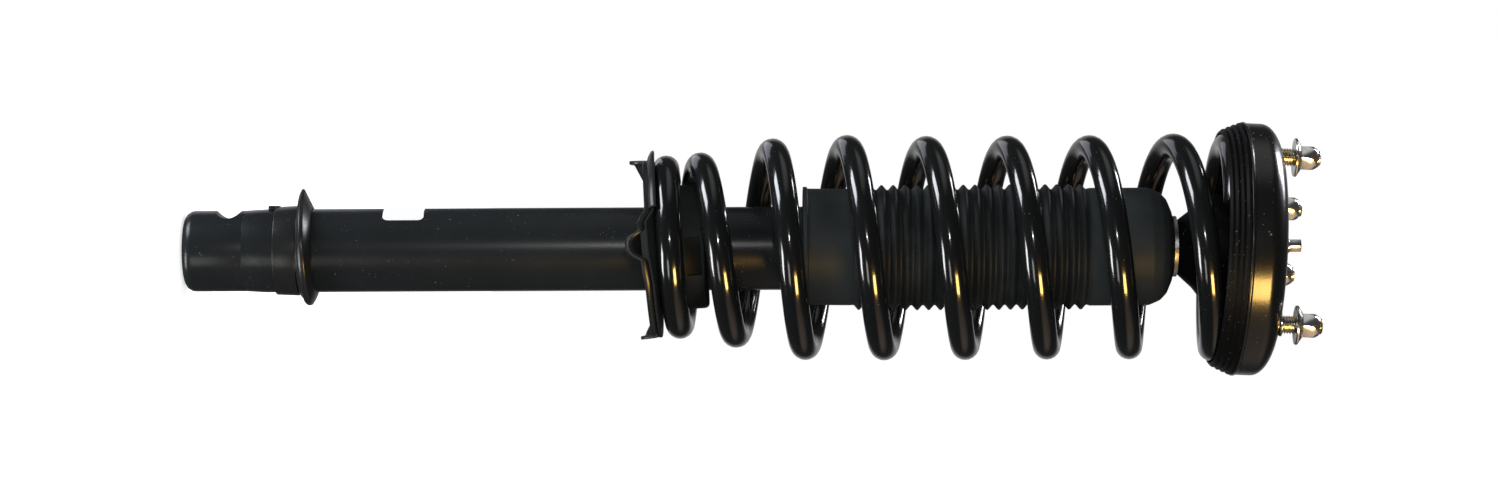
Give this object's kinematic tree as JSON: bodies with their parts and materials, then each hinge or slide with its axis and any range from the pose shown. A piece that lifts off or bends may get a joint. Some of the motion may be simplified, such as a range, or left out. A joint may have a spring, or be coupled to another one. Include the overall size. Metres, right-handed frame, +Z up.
{
  "type": "strut assembly",
  "caption": "Coil-over strut: twin-tube damper with a fork clamp end, ribbed spring seat, coil spring, dust boot and a studded rubber upper mount.",
  "frame": {"origin": "on the strut's axis at the pinch-bolt groove, in the middle of the clamp zone", "axes": "+Z up along the strut's axis towards the studs; the pinch-bolt groove, the key and the flange's ear face -X"},
  "size_m": [0.142, 0.1422, 0.6374],
  "materials": {
    "tube_black": "satin",
    "seat_black": "satin",
    "spring_black": "gloss",
    "mount_black": "gloss",
    "pad_rubber": "matte",
    "boot_rubber": "semi-matte",
    "rubber": "matte",
    "foam": "matte",
    "bright_steel": "fine brushed",
    "sintered": "matte sintered",
    "bronze": "satin",
    "band_plastic": "matte",
    "chrome_rod": "polished",
    "zinc": "yellow zinc plate"
  },
  "bodies": {
    "damper_body": {"base_cup": "tube_black", "damper_tube": "tube_black", "fork_collar": "tube_black", "stop_flange": "tube_black", "lower_spring_seat": "seat_black", "seat_neck": "seat_black", "lower_insulator": "pad_rubber", "coil_spring": "spring_black", "pressure_tube": "bright_steel", "base_valve": "sintered", "base_valve_pin": "bright_steel", "rod_guide": "sintered", "guide_bush": "bronze", "oil_seal": "rubber", "tube_cap": "bright_steel"},
    "rod_assembly": {"piston_rod": "chrome_rod", "piston": "sintered", "piston_band": "band_plastic", "check_stop": "bright_steel", "rebound_shims": "bright_steel", "piston_nut": "bright_steel", "rebound_stop": "bright_steel", "rebound_bumper": "rubber", "bump_stop": "foam", "dust_boot": "boot_rubber", "boot_plate": "zinc", "lower_mount_rubber": "rubber", "mount_collar": "bright_steel", "mount_base": "mount_black", "upper_mount_rubber": "rubber", "upper_insulator": "rubber", "mount_washer": "zinc", "rod_nut": "zinc", "mount_studs": "zinc", "stud_nuts": "zinc"},
    "base_check": {"base_check_plate": "bright_steel"},
    "piston_check": {"piston_check_plate": "bright_steel"}
  },
  "joints": [
    {"name": "strut_slide", "type": "slide", "parent": "damper_body", "child": "rod_assembly", "axis": [0, 0, 1], "range_m": [-0.1, 0], "stiffness_N_per_m": 38600, "springref_m": 0.03, "deforming": ["coil_spring", "dust_boot"]},
    {"name": "base_check_lift", "type": "slide", "parent": "damper_body", "child": "base_check", "axis": [0, 0, 1], "range_m": [0, 0.001], "stiffness_N_per_m": 300, "springref_m": -0.002},
    {"name": "piston_check_lift", "type": "slide", "parent": "rod_assembly", "child": "piston_check", "axis": [0, 0, 1], "range_m": [0, 0.001], "stiffness_N_per_m": 300, "springref_m": -0.002}
  ]
}
